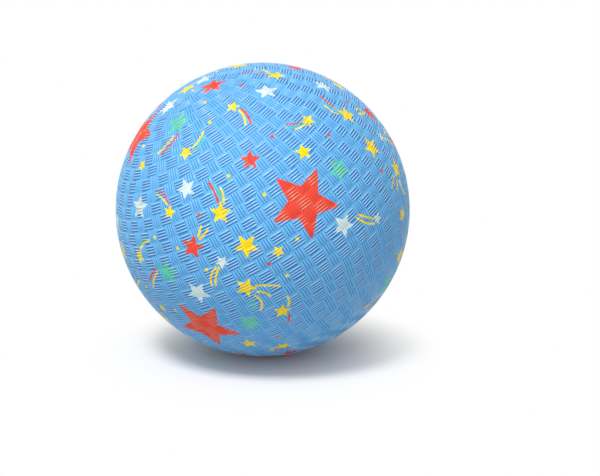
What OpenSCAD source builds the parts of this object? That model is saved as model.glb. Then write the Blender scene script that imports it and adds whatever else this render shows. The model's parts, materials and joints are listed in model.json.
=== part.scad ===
// Moulded rubber ball, pumped up: two cover halves, a bladder and a needle valve.
// The origin is the centre of the ball, and +Z is up as the ball lies.
// Each piece is drawn round the mould axis, with the seam level and the valve
// at the bottom, and laid() then turns it to the way the ball lies.

/* [Ball] */
// Outside diameter of the ball when it is pumped up
ball_d = 216; // [150:1:300]
// Wall of the cover, the outer ply
cover_t = 1.8; // [1.2:0.1:3]
// Wall of the bladder, the inner ply
bladder_t = 0.8; // [0.5:0.1:1.5]
// Film of rubber cement between pieces that are bonded
cement_t = 0.05; // [0.02:0.01:0.1]

/* [Seam] */
// Height over which the two cover halves taper past each other
scarf_h = 3; // [1:0.5:6]
// Width of the crease that the parting line of the mould leaves
crease_w = 0.8; // [0.4:0.1:1.5]
// Depth of that crease
crease_depth = 0.35; // [0.1:0.05:0.6]

/* [Lie] */
// Lean of the mould axis from upright
axis_lean = 32.4; // [0:0.1:90]
// Direction of that lean, from +X towards +Y
axis_turn = -163.1; // [-180:0.1:180]

/* [Valve seat] */
// Radius of the smooth flat spot round the valve
spot_r = 9; // [7:0.5:14]
// Radius of the reinforcing patch inside the bladder
patch_r = 20; // [16:1:30]
// Thickness of that patch
patch_t = 0.6; // [0.4:0.1:1.2]

/* [Valve housing] */
// Radius of the flange that is bonded under the patch
flange_r = 15; // [11:0.5:20]
// Thickness of the flange at the neck
flange_t = 1.4; // [0.8:0.1:2.5]
// Thickness that the flange thins to at its edge
flange_edge_t = 0.5; // [0.3:0.1:0.7]
// Radius of the neck that fills the hole in cover and bladder
neck_r = 5.2; // [4.5:0.1:6.5]
// Depth of the neck's end below the flat spot
neck_recess = 0.25; // [0.1:0.05:0.6]
// Length of the boss that reaches inwards from the flange
boss_len = 15; // [10:0.5:25]
// Wall of the boss round the plug
boss_wall = 2.2; // [1.5:0.1:3.5]
// Thickness of the closed end of the boss
boss_end_t = 1.5; // [1:0.1:3]
// Radius of the air hole in that end
air_hole_r = 1.5; // [0.8:0.1:2]

/* [Valve plug] */
// Radius of the plug's head, which shows in the neck
head_r = 3.4; // [2.8:0.1:3.6]
// Length of the head
head_len = 4; // [3:0.5:6]
// Radius of the plug's body, which the neck holds in
plug_r = 4.6; // [4:0.1:5]
// Slack between the plug and the housing
plug_slack = 0.05; // [0.02:0.01:0.1]
// Radius of the bore that guides the inflating needle
needle_r = 1.05; // [0.9:0.05:1.3]
// Length of the straight part of that bore
needle_len = 12; // [8:0.5:13]
// Radius of the lead-in at the bore's mouth
lead_r = 1.9; // [1.6:0.1:2.4]
// Depth of the lead-in
lead_h = 1; // [0.5:0.1:1.5]
// Width of the slit that closes by itself below the bore
slit_w = 0.2; // [0.1:0.05:0.3]
// Length of the slit across the plug
slit_len = 3; // [2:0.5:4]

/* [Hidden] */
$fn = 240;

// One overrun serves every cut
over = cover_t;

// Radii of the faces of each ply, from the outside in
ball_r = ball_d / 2;
cover_in_r = ball_r - cover_t;
bladder_out_r = cover_in_r - cement_t;
bladder_in_r = bladder_out_r - bladder_t;
patch_out_r = bladder_in_r - cement_t;
patch_in_r = patch_out_r - patch_t;
flange_out_r = patch_in_r - cement_t;
flange_in_r = flange_out_r - flange_t;

// Rise of the scarf for each unit of radius
scarf_rise = scarf_h / cover_t;

// Heights along the valve axis, outwards from the centre of the ball
spot_z = sqrt(pow(ball_r, 2) - pow(spot_r, 2));
neck_z = spot_z - neck_recess;
boss_z = flange_in_r - boss_len;
socket_z = boss_z + boss_end_t;
shoulder_z = neck_z - head_len;
bore_z = neck_z - lead_h - needle_len;

neck_hole_r = neck_r + cement_t;
socket_r = plug_r + plug_slack;
mouth_r = head_r + plug_slack;
boss_r = socket_r + boss_wall;

// Turns a piece from the mould's axis to the way the ball lies
module laid() {
    rotate([0, axis_lean, axis_turn]) children();
}

// Turns a piece that is drawn with the valve at the top to the bottom pole
module at_valve() {
    rotate([180, 0, 0]) children();
}

// Closed spherical wall
module wall(outer_r, inner_r) {
    difference() {
        sphere(r = outer_r);
        sphere(r = inner_r);
    }
}

// Round piece of a spherical wall, centred on the valve axis
module wall_disc(outer_r, inner_r, disc_r) {
    intersection() {
        wall(outer_r, inner_r);
        cylinder(r = disc_r, h = outer_r + over);
    }
}

// Everything below the scarf, which is a cone through the seam line
module below_scarf() {
    out_r = ball_r + over;
    in_r = cover_in_r - over;
    rotate_extrude()
        polygon([
            [0, -out_r],
            [out_r, -out_r],
            [out_r, over * scarf_rise],
            [in_r, -scarf_h - over * scarf_rise],
            [0, -scarf_h - over * scarf_rise],
        ]);
}

// Ring that cuts the parting crease into both halves
module crease() {
    rotate_extrude()
        polygon([
            [ball_r - crease_depth, 0],
            [ball_r + crease_depth, -crease_w],
            [ball_r + crease_depth, crease_w],
        ]);
}

// Hole for the valve's neck through cover, bladder and patch
module neck_hole() {
    at_valve() cylinder(r = neck_hole_r, h = ball_r + over);
}

module cover_upper() {
    color("#78b2e6")
        laid()
            difference() {
                wall(ball_r, cover_in_r);
                below_scarf();
                crease();
            }
}

module cover_lower() {
    color("#6aa6de")
        laid()
            difference() {
                intersection() {
                    wall(ball_r, cover_in_r);
                    below_scarf();
                }
                crease();
                neck_hole();
                at_valve() translate([0, 0, spot_z]) cylinder(r = ball_r, h = ball_r);
            }
}

module bladder() {
    color("#2c2c2e")
        laid()
            difference() {
                wall(bladder_out_r, bladder_in_r);
                neck_hole();
            }
}

module valve_patch() {
    color("#4a4640")
        laid()
            difference() {
                at_valve() wall_disc(patch_out_r, patch_in_r, patch_r);
                neck_hole();
            }
}

// Flange under the patch, thinned towards its edge by a flatter inner face
module flange() {
    edge_in_r = flange_out_r - flange_edge_t;
    edge_z = sqrt(pow(edge_in_r, 2) - pow(flange_r, 2));
    intersection() {
        wall_disc(flange_out_r, boss_z, flange_r);
        rotate_extrude()
            polygon([
                [0, flange_in_r],
                [boss_r, sqrt(pow(flange_in_r, 2) - pow(boss_r, 2))],
                [flange_r, edge_z],
                [flange_r, ball_r],
                [0, ball_r],
            ]);
    }
}

// Passage for the plug: air hole, socket and the narrower mouth that holds it
module plug_passage() {
    translate([0, 0, boss_z - over]) cylinder(r = air_hole_r, h = boss_end_t + 2 * over);
    translate([0, 0, socket_z])
        cylinder(r = socket_r, h = shoulder_z + plug_slack - socket_z);
    translate([0, 0, shoulder_z - over]) cylinder(r = mouth_r, h = head_len + 2 * over);
}

module valve_housing() {
    color("#5b9bd4")
        laid()
            at_valve()
                difference() {
                    union() {
                        flange();
                        translate([0, 0, boss_z]) cylinder(r = boss_r, h = boss_len);
                        translate([0, 0, boss_z]) cylinder(r = neck_r, h = neck_z - boss_z);
                    }
                    plug_passage();
                }
}

module valve_plug() {
    color("#f2f2ee")
        laid()
            at_valve()
                difference() {
                    union() {
                        translate([0, 0, socket_z + plug_slack])
                            cylinder(r = plug_r, h = shoulder_z - socket_z - plug_slack);
                        translate([0, 0, socket_z + plug_slack])
                            cylinder(r = head_r, h = neck_z - socket_z - plug_slack);
                    }
                    translate([0, 0, bore_z]) cylinder(r = needle_r, h = needle_len + over);
                    translate([0, 0, neck_z - lead_h])
                        cylinder(r1 = needle_r, r2 = lead_r, h = lead_h);
                    translate([-slit_len / 2, -slit_w / 2, socket_z - over])
                        cube([slit_len, slit_w, bore_z + plug_slack - socket_z + over]);
                }
}

cover_upper();
cover_lower();
bladder();
valve_patch();
valve_housing();
valve_plug();
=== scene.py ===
"""Looks of the moulded rubber dodgeball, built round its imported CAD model.

Lengths are in metres and angles in radians, unless a name ends in _deg or _px.
Places on the ball are given round the mould's axis: latitude rises from the
parting line to the pole, and longitude is counted eastwards from the front.
"""

import json
import logging
import math
from dataclasses import dataclass, field
from enum import Enum

import bpy
import numpy as np
from mathutils import Euler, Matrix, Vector


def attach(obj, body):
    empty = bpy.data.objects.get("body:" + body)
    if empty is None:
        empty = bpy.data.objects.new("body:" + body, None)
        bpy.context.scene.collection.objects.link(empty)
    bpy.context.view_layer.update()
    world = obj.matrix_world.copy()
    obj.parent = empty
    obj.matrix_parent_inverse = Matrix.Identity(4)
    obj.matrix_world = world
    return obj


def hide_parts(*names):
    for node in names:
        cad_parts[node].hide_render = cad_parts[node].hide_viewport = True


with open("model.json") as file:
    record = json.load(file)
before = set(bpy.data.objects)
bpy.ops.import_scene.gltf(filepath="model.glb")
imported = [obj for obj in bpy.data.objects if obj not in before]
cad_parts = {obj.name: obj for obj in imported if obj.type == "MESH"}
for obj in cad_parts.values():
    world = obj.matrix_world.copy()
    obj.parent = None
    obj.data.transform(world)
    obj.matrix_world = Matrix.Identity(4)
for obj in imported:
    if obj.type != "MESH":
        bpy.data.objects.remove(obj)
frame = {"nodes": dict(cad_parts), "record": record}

log = logging.getLogger("dodgeball")

MM = 0.001
WHOLE_TURN = 2 * math.pi
BALL_RADIUS = 108 * MM
# Radius of a star's inner corners, as a share of its reach
STAR_NOTCH = 0.466

Colour = tuple[float, float, float]


def unit(vector: np.ndarray) -> np.ndarray:
    """Gives a vector a length of 1."""
    return vector / np.linalg.norm(vector)


def angle_between(first: np.ndarray, second: np.ndarray) -> float:
    """Angle between two vectors that have a length of 1."""
    return math.acos(float(np.clip(first @ second, -1, 1)))


def read_all(items: "bpy.types.bpy_prop_collection", name: str, width: int, kind: type) -> np.ndarray:
    """Reads one property of all vertices, edges, faces or corners of a mesh.

    Args:
        items: the mesh's own list of them.
        name: the property.
        width: how many numbers it has.
        kind: the type of those numbers.

    Returns:
        One row for each item, or one number for each where the width is 1.
    """
    values = np.zeros(width * len(items), kind)
    items.foreach_get(name, values)
    return values.reshape(-1, width) if width > 1 else values


class Wire:
    """A node socket that Python's operators can do sums on."""

    def __init__(self, bench: "Bench", socket: bpy.types.NodeSocket) -> None:
        """Keeps the socket and the bench that its nodes are made on."""
        self.bench = bench
        self.socket = socket

    def __add__(self, other: "Wire | float") -> "Wire":
        """Adds."""
        return self.bench.maths("ADD", self, other)

    __radd__ = __add__

    def __sub__(self, other: "Wire | float") -> "Wire":
        """Subtracts."""
        return self.bench.maths("SUBTRACT", self, other)

    def __rsub__(self, other: "Wire | float") -> "Wire":
        """Subtracts from a number."""
        return self.bench.maths("SUBTRACT", other, self)

    def __mul__(self, other: "Wire | float") -> "Wire":
        """Multiplies."""
        return self.bench.maths("MULTIPLY", self, other)

    __rmul__ = __mul__

    def __truediv__(self, other: "Wire | float") -> "Wire":
        """Divides."""
        return self.bench.maths("DIVIDE", self, other)

    def __mod__(self, other: "Wire | float") -> "Wire":
        """Takes the remainder, which is never negative."""
        return self.bench.maths("FLOORED_MODULO", self, other)

    def __lt__(self, other: "Wire | float") -> "Wire":
        """Is 1 where this is less, and 0 elsewhere."""
        return self.bench.maths("LESS_THAN", self, other)

    def __abs__(self) -> "Wire":
        """Drops the sign."""
        return self.bench.maths("ABSOLUTE", self)


class Bench:
    """A node tree under construction, for shaders and for geometry alike."""

    def __init__(self, tree: bpy.types.NodeTree) -> None:
        """Keeps the tree that the nodes are made in."""
        self.tree = tree

    def node(self, kind: str, settings: dict | None = None,
             sockets: dict | None = None) -> bpy.types.Node:
        """Makes one node.

        Args:
            kind: Blender's name for the node's type.
            settings: the node's own properties, and a ramp's "stops".
            sockets: values or wires for its input sockets, by name or number.

        Returns:
            The new node.
        """
        node = self.tree.nodes.new(kind)
        for name, value in (settings or {}).items():
            if name == "stops":
                self._set_stops(node.color_ramp, value)
            else:
                setattr(node, name, value)
        for name, value in (sockets or {}).items():
            self.feed(node.inputs[name], value)
        return node

    def _set_stops(self, ramp: bpy.types.ColorRamp, stops: list) -> None:
        """Gives a ramp its stops.

        Args:
            ramp: the ramp.
            stops: pairs of a place and a colour.
        """
        while len(ramp.elements) > 1:
            ramp.elements.remove(ramp.elements[-1])
        for number, (place, colour) in enumerate(stops):
            element = ramp.elements[0] if number == 0 else ramp.elements.new(place)
            element.position = place
            element.color = colour

    def feed(self, socket: bpy.types.NodeSocket, value: "Wire | float | tuple") -> None:
        """Links a wire to an input socket, or sets the socket's value.

        Args:
            socket: the input socket.
            value: a wire, or a plain value.
        """
        if isinstance(value, Wire):
            self.tree.links.new(value.socket, socket)
        else:
            socket.default_value = value

    def wire(self, kind: str, settings: dict | None = None, sockets: dict | None = None,
             out: str | int = 0) -> Wire:
        """Makes one node and returns the wire of one of its outputs."""
        return Wire(self, self.node(kind, settings, sockets).outputs[out])

    def maths(self, operation: str, *values: "Wire | float", clamp: bool = False) -> Wire:
        """Works out one sum on numbers."""
        settings = {"operation": operation, "use_clamp": clamp}
        return self.wire("ShaderNodeMath", settings, dict(enumerate(values)))

    def vector(self, operation: str, *values: "Wire | tuple", out: str = "Vector") -> Wire:
        """Works out one sum on vectors."""
        return self.wire("ShaderNodeVectorMath", {"operation": operation}, dict(enumerate(values)), out)

    def scaled(self, direction: "Wire | tuple", length: "Wire | float") -> Wire:
        """Gives a vector a length."""
        settings = {"operation": "SCALE"}
        return self.wire("ShaderNodeVectorMath", settings, {0: direction, "Scale": length})

    def step(self, value: Wire, low: float, high: float) -> Wire:
        """Rises smoothly from 0 to 1, or falls where high is below low.

        Args:
            value: the wire that is followed.
            low: where the rise starts.
            high: where it ends.

        Returns:
            The share that is reached.
        """
        if low > high:
            return 1 - self.step(value, high, low)
        return self.wire("ShaderNodeMapRange", {"interpolation_type": "SMOOTHSTEP"}, {
            "Value": value, "From Min": low, "From Max": high,
        })

    def hypot(self, first: Wire, second: Wire) -> Wire:
        """Long side of a right-angled triangle over its two short sides."""
        return self.maths("SQRT", first * first + second * second)

    def attribute(self, name: str, out: str = "Fac") -> Wire:
        """Reads a value that the mesh carries under a name."""
        return self.wire("ShaderNodeAttribute", {"attribute_name": name}, None, out)

    def stored(self, name: str) -> list[Wire]:
        """Reads the three numbers that the mesh carries under a name."""
        split = self.node("ShaderNodeSeparateXYZ", None, {0: self.attribute(name, "Vector")})
        return [Wire(self, socket) for socket in split.outputs]

    def noise(self, place: Wire, size: float, detail: float = 2.0) -> Wire:
        """Varies smoothly from 0 to 1 over a length of the given size."""
        sockets = {"Vector": place, "Scale": 1 / size, "Detail": detail}
        return self.wire("ShaderNodeTexNoise", None, sockets)

    def pick(self, number: Wire, colours: list[Colour]) -> Wire:
        """Picks one of a few colours.

        Args:
            number: the colour's place among them, from 0.
            colours: the colours, as linear values.

        Returns:
            The colour.
        """
        stops = [(place / len(colours), (*colour, 1)) for place, colour in enumerate(colours)]
        ramp = self.node("ShaderNodeValToRGB", {"stops": stops}, {0: (number + 0.5) / len(colours)})
        ramp.color_ramp.interpolation = "CONSTANT"
        return Wire(self, ramp.outputs[0])

    def blend(self, share: "Wire | float", first: "Wire | Colour", second: "Wire | Colour") -> Wire:
        """Mixes two colours.

        Args:
            share: 0 for the first colour, to 1 for the second.
            first: a wire, or a plain linear colour.
            second: the same.

        Returns:
            The mixed colour.
        """
        first, second = (end if isinstance(end, Wire) else (*end, 1) for end in (first, second))
        return self.wire("ShaderNodeMix", {"data_type": "RGBA"}, {0: share, 6: first, 7: second}, 2)


class Lay(Enum):
    """Which way the bars of a woven block run."""

    ALONG_PARALLEL = 0
    ALONG_MERIDIAN = 1


class Half(Enum):
    """One of the two halves of the cover, and the side of the parting line it is on."""

    UPPER = 1
    LOWER = -1

    @property
    def node(self) -> str:
        """Name of the CAD node that the half stands for."""
        return f"cover_{self.name.lower()}"


@dataclass(frozen=True)
class Mould:
    """The mould's axis, and the directions that longitude is counted in."""

    pole: np.ndarray
    front: np.ndarray
    east: np.ndarray

    @classmethod
    def from_record(cls, record: dict, towards: Vector) -> "Mould":
        """Takes the axis from the needle's bore, with longitude 0 on the viewed side.

        Args:
            record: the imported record.
            towards: direction from the ball to the camera.

        Returns:
            The mould's three directions.
        """
        bore = next(m for m in record["mounts"] if m["name"] == "needle_bore")
        pole = -Vector(bore["axis"]).normalized()
        front = (towards - pole * towards.dot(pole)).normalized()
        return cls(np.array(pole), np.array(front), np.array(pole.cross(front)))

    def place(self, latitude: np.ndarray, longitude: np.ndarray, radius: np.ndarray) -> np.ndarray:
        """Turns places round the mould's axis into points.

        Args:
            latitude: latitude of each place.
            longitude: longitude of each.
            radius: distance of each from the centre of the ball.

        Returns:
            The points, one row each.
        """
        flat = np.cos(latitude)
        return (
            (radius * flat * np.cos(longitude))[:, None] * self.front
            + (radius * flat * np.sin(longitude))[:, None] * self.east
            + (radius * np.sin(latitude))[:, None] * self.pole
        )

    def find(self, points: np.ndarray) -> tuple[np.ndarray, np.ndarray]:
        """Finds where points lie round the mould's axis.

        Args:
            points: the points, one row each.

        Returns:
            The latitude and the longitude of each.
        """
        length = np.linalg.norm(points, axis=1)
        latitude = np.arcsin(np.clip(points @ self.pole / length, -1, 1))
        return latitude, np.arctan2(points @ self.east, points @ self.front)


@dataclass
class Weave:
    """The basket weave that is moulded into the cover: blocks of four round-ended bars."""

    crest_radius: float = BALL_RADIUS
    bar_height: float = 0.44 * MM
    groove_depth: float = 0.16 * MM
    bar_pitch: float = 1.94 * MM
    bar_foot: float = 1.5 * MM
    bar_top: float = 0.26 * MM
    bar_length: float = 8.9 * MM
    upright_length: float = 8.55 * MM
    end_run: float = 0.5 * MM
    bars: int = 4
    pair_pitch: float = 17.7 * MM
    row_pitch_deg: float = 4.8
    first_row_deg: float = 2.5
    rows: int = 17
    # Longitude of one lying block in each row, read off the photograph from the parting line up
    lying_deg: tuple[float, ...] = (4, -1, 4, 2.5, -2.5, -1, 4.5, 3, -2.5, 3.5, 0, -1, 4)
    # The rows past those start this far apart, and the lower half's rows swing by turns
    unread_step_deg: float = 40.0
    lower_swing_deg: float = 5.5
    lower_shift_deg: float = 3.0
    drift: float = 0.07 * MM
    skew_deg: float = 0.75
    seed: int = 11
    # Painted shade at a bar's foot and painted highlight on its top, against 1 for a lying bar inside
    # its block
    lying_edge_foot: float = 0.3
    upright_edge_foot: float = 0.45
    upright_foot: float = 0.56
    upright_top: float = 0.35

    # Vertices across each bar and along it, and how far along from its middle a bar is at full height
    STATIONS = 4
    RUNS = 5
    WHOLE_RUN = RUNS / 2 - 1

    @property
    def base_radius(self) -> float:
        """Radius of the smooth surface that the bars stand on."""
        return self.crest_radius - self.bar_height

    @property
    def across(self) -> int:
        """Number of vertices across one block."""
        return self.bars * self.STATIONS

    def sizes(self) -> dict[str, float]:
        """Names the sizes that the geometry nodes take.

        Returns:
            Each size by the name of its input.
        """
        return {
            "Base Radius": self.base_radius, "Bar Height": self.bar_height,
            "Groove Depth": self.groove_depth, "Bar Pitch": self.bar_pitch,
            "Bar Foot": self.bar_foot, "Bar Top": self.bar_top, "End Run": self.end_run,
        }

    def blocks(self, half: Half) -> tuple[dict[str, np.ndarray], list[int]]:
        """Lays out the blocks of one half, row by row northwards and eastwards in each.

        Args:
            half: the half of the cover.

        Returns:
            The blocks' values by name, and the number of blocks in each row.
        """
        draw = np.random.default_rng(self.seed + half.value)
        rows = range(self.rows) if half is Half.UPPER else range(self.rows - 1, -1, -1)
        names = "latitude", "longitude", "length", "lay", "skew"
        values: dict[str, list[float]] = {name: [] for name in names}
        counts = []
        for row in rows:
            latitude = half.value * math.radians(self.first_row_deg + self.row_pitch_deg * row)
            ring = WHOLE_TURN * self.crest_radius * math.cos(latitude)
            pairs = round(ring / self.pair_pitch)
            stretch = ring / pairs / self.pair_pitch
            start_deg = self.lying_deg[row] if row < len(self.lying_deg) else self.unread_step_deg * row
            if half is Half.LOWER:
                start_deg = start_deg + self.lower_swing_deg * (row % 2) + self.lower_shift_deg
            start = math.radians(start_deg)
            counts.append(2 * pairs)
            for block in range(2 * pairs):
                lay = Lay(block % 2)
                long_way = self.bar_length if lay is Lay.ALONG_PARALLEL else self.upright_length
                values["latitude"].append(
                    latitude + draw.uniform(-1, 1) * self.drift / self.crest_radius
                )
                values["longitude"].append(
                    start + block * math.pi / pairs
                    + draw.uniform(-1, 1) * self.drift / self.crest_radius / math.cos(latitude)
                )
                values["length"].append(long_way * (stretch if lay is Lay.ALONG_PARALLEL else 1))
                values["lay"].append(lay.value)
                values["skew"].append(math.radians(draw.uniform(-1, 1) * self.skew_deg))
        return {name: np.array(column, np.float32) for name, column in values.items()}, counts

    def tree(self) -> bpy.types.NodeTree:
        """Makes the geometry nodes that set four bars on each point of a layout.

        Returns:
            A node group whose inputs are the weave's sizes and the mould's directions.
        """
        group = bpy.data.node_groups.new("Woven blocks", "GeometryNodeTree")
        face = group.interface
        face.new_socket("Geometry", in_out="OUTPUT", socket_type="NodeSocketGeometry")
        face.new_socket("Geometry", in_out="INPUT", socket_type="NodeSocketGeometry")
        for name in self.sizes():
            face.new_socket(name, in_out="INPUT", socket_type="NodeSocketFloat")
        for name in ("Front", "East", "Pole"):
            face.new_socket(name, in_out="INPUT", socket_type="NodeSocketVector")
        face.new_socket("Rubber", in_out="INPUT", socket_type="NodeSocketMaterial")
        bench = Bench(group)
        sockets = bench.node("NodeGroupInput").outputs
        given = {socket.name: Wire(bench, socket) for socket in sockets if socket.name}
        number = bench.wire("GeometryNodeInputIndex")

        station = bench.maths("FLOOR", number / self.RUNS)
        run = number % self.RUNS - (self.RUNS - 1) / 2
        bar = bench.maths("FLOOR", station / self.STATIONS)
        edge = station % self.STATIONS - (self.STATIONS - 1) / 2
        on_top = abs(edge) < 1
        half_width = (given["Bar Foot"] + on_top * (given["Bar Top"] - given["Bar Foot"])) / 2
        aside = bench.maths("SIGN", edge) * half_width
        across = (bar - (self.bars - 1) / 2) * given["Bar Pitch"] + aside
        whole_height = abs(run) < self.WHOLE_RUN
        raised = on_top * whole_height
        inner = abs(station - (self.across - 1) / 2) < (self.across - 2) / 2
        sunk = (1 - on_top) * inner * whole_height
        shape = bench.wire("GeometryNodeMeshGrid", None, {
            "Size X": 1.0, "Size Y": 1.0, "Vertices X": self.across, "Vertices Y": self.RUNS,
        })
        for name, value in (("across", across), ("run", run), ("raised", raised), ("sunk", sunk)):
            shape = bench.wire("GeometryNodeStoreNamedAttribute", {"domain": "POINT"}, {
                "Geometry": shape, "Name": name, "Value": value,
            })
        placed = bench.wire("GeometryNodeInstanceOnPoints", None, {
            "Points": given["Geometry"], "Instance": shape,
        })
        whole = bench.wire("GeometryNodeRealizeInstances", None, {"Geometry": placed})

        names = "across", "run", "raised", "sunk", "latitude", "longitude", "length", "lay", "skew"
        read = {
            name: bench.wire("GeometryNodeInputNamedAttribute", {"data_type": "FLOAT"}, {"Name": name})
            for name in names
        }
        inset = (abs(read["run"]) < self.WHOLE_RUN) * given["End Run"]
        along = bench.maths("SIGN", read["run"]) * (read["length"] / 2 - inset)
        cosine, sine = bench.maths("COSINE", read["skew"]), bench.maths("SINE", read["skew"])
        side = read["across"] * cosine - along * sine
        ahead = read["across"] * sine + along * cosine
        northwards = side + read["lay"] * (ahead - side)
        eastwards = ahead + read["lay"] * (side - ahead)
        latitude = read["latitude"] + northwards / given["Base Radius"]
        flat = bench.maths("COSINE", read["latitude"])
        longitude = read["longitude"] + eastwards / (given["Base Radius"] * flat)
        radius = (given["Base Radius"] + read["raised"] * given["Bar Height"]
                  - read["sunk"] * given["Groove Depth"])
        level = radius * bench.maths("COSINE", latitude)
        point = bench.vector(
            "ADD",
            bench.vector(
                "ADD",
                bench.scaled(given["Front"], level * bench.maths("COSINE", longitude)),
                bench.scaled(given["East"], level * bench.maths("SINE", longitude)),
            ),
            bench.scaled(given["Pole"], radius * bench.maths("SINE", latitude)),
        )
        bent = bench.wire("GeometryNodeSetPosition", None, {"Geometry": whole, "Position": point})
        done = bench.wire("GeometryNodeSetMaterial", None, {
            "Geometry": bent, "Material": given["Rubber"],
        })
        bench.node("NodeGroupOutput", None, {"Geometry": done})
        return group

    def tiles(self, half: Half, mould: Mould,
              rubber: bpy.types.Material) -> tuple[np.ndarray, list[int]]:
        """Runs the geometry nodes over one half's layout.

        Args:
            half: the half of the cover.
            mould: the mould's directions.
            rubber: the cover's material.

        Returns:
            The blocks' points, and the number of blocks in each row.
        """
        values, counts = self.blocks(half)
        mesh = bpy.data.meshes.new(f"{half.node}_layout")
        mesh.vertices.add(len(values["lay"]))
        for name, column in values.items():
            mesh.attributes.new(name, "FLOAT", "POINT").data.foreach_set("value", column)
        seeds = bpy.data.objects.new(mesh.name, mesh)
        bpy.context.scene.collection.objects.link(seeds)
        modifier = seeds.modifiers.new("Woven blocks", "NODES")
        modifier.node_group = self.tree()
        inputs = self.sizes() | {
            "Front": mould.front.tolist(), "East": mould.east.tolist(), "Pole": mould.pole.tolist(),
            "Rubber": rubber,
        }
        for socket in modifier.node_group.interface.items_tree:
            if socket.in_out == "INPUT" and socket.name in inputs:
                modifier[socket.identifier] = inputs[socket.name]
        depsgraph = bpy.context.evaluated_depsgraph_get()
        result = bpy.data.meshes.new_from_object(seeds.evaluated_get(depsgraph), depsgraph=depsgraph)
        points = read_all(result.vertices, "co", 3, np.float64)
        bpy.data.objects.remove(seeds)
        bpy.data.meshes.remove(mesh)
        bpy.data.meshes.remove(result)
        return points, counts

    def relief(self, count: int) -> tuple[np.ndarray, np.ndarray]:
        """Marks where shade is painted at the feet of the bars and a highlight on their tops, most in
        the lying blocks.

        Args:
            count: number of points in all blocks of a half.

        Returns:
            One number for each point for the painted shade at the feet, and one for the painted
            highlight on the tops.
        """
        place = np.arange(count) % (self.across * self.RUNS)
        station, run = place // self.RUNS, place % self.RUNS
        foot = (station % self.STATIONS == 0) | (station % self.STATIONS == self.STATIONS - 1)
        whole = (run > 0) & (run < self.RUNS - 1)
        inner = (station > 0) & (station < self.across - 1)
        lying = np.arange(count) // (self.across * self.RUNS) % 2 == Lay.ALONG_PARALLEL.value
        # Painted shade is full at the feet inside a lying block and at its southern edge foot, lighter
        # elsewhere
        outer = np.where(lying, np.where(station == 0, 1, self.lying_edge_foot), self.upright_edge_foot)
        feet = (foot & whole) * np.where(inner, np.where(lying, 1, self.upright_foot), outer)
        return feet, (~foot & whole) * np.where(lying, 1, self.upright_top)

    def faces(self, block: int, lay: Lay) -> tuple[list, list]:
        """Lists the faces of one block, with the bars' end corners cut off to round them.

        Args:
            block: the block's number.
            lay: which way its bars run.

        Returns:
            Its triangles and its quads, facing outwards.
        """
        first = block * self.across * self.RUNS

        def at(station: int, run: int) -> int:
            """Number of a vertex of this block."""
            return first + station * self.RUNS + run

        triangles, quads = [], []
        for station in range(self.across - 1):
            for run in range(self.RUNS - 1):
                loop = [
                    at(station, run), at(station + 1, run),
                    at(station + 1, run + 1), at(station, run + 1),
                ]
                rising = station % self.STATIONS == 0
                falling = station % self.STATIONS == self.STATIONS - 2
                at_start, at_finish = run == 0, run == self.RUNS - 2
                if (rising and at_start) or (falling and at_finish):
                    pieces = [[loop[0], loop[1], loop[3]], [loop[1], loop[2], loop[3]]]
                elif (falling and at_start) or (rising and at_finish):
                    pieces = [[loop[0], loop[1], loop[2]], [loop[0], loop[2], loop[3]]]
                else:
                    pieces = [loop]
                for piece in pieces:
                    piece = piece if lay is Lay.ALONG_MERIDIAN else piece[::-1]
                    (triangles if len(piece) == 3 else quads).append(piece)
        return triangles, quads

    def border(self, block: int, lay: Lay, side: str) -> list[int]:
        """Lists the vertices of one side of a block, northwards or eastwards.

        Args:
            block: the block's number.
            lay: which way its bars run.
            side: north, south, east or west.

        Returns:
            The vertices' numbers.
        """
        first = block * self.across * self.RUNS
        upright = lay is Lay.ALONG_MERIDIAN
        if (side in ("east", "west")) == upright:
            station = self.across - 1 if side in ("north", "east") else 0
            return [first + station * self.RUNS + run for run in range(self.RUNS)]
        run = self.RUNS - 1 if side in ("north", "east") else 0
        return [first + station * self.RUNS + run for station in range(self.across)]


class Ink(Enum):
    """The inks of the print, as linear colours."""

    RED = (0.83, 0.06, 0.03)
    YELLOW = (0.96, 0.73, 0.0)
    WHITE = (0.66, 0.81, 0.82)
    GREEN = (0.09, 0.60, 0.47)

    @property
    def number(self) -> int:
        """Place of the ink among the inks."""
        return list(Ink).index(self)


class Outline(Enum):
    """What a printed figure looks like."""

    STAR = 0
    DOT = 1


@dataclass(frozen=True)
class Stroke:
    """One curved stroke of a tail, through three places given as longitude and latitude."""

    ink: Ink
    start: tuple[float, float]
    middle: tuple[float, float]
    end: tuple[float, float]
    half_width: float = 0.72 * MM


@dataclass(frozen=True)
class Figure:
    """A printed star or dot, with a tail of strokes where it has one.

    Its turn is the direction of one tip, counted eastwards from the mould's pole.
    """

    ink: Ink
    longitude: float
    latitude: float
    reach: float
    turn: float = 0.0
    tail: tuple[Stroke, ...] = ()
    outline: Outline = Outline.STAR


def dot(ink: Ink, longitude: float, latitude: float, reach: float = 1.3 * MM) -> Figure:
    """Makes one of the small dots that are strewn between the stars."""
    return Figure(ink, longitude, latitude, reach, outline=Outline.DOT)


# Half width of the thinner strokes
THIN = 0.55 * MM
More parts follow.
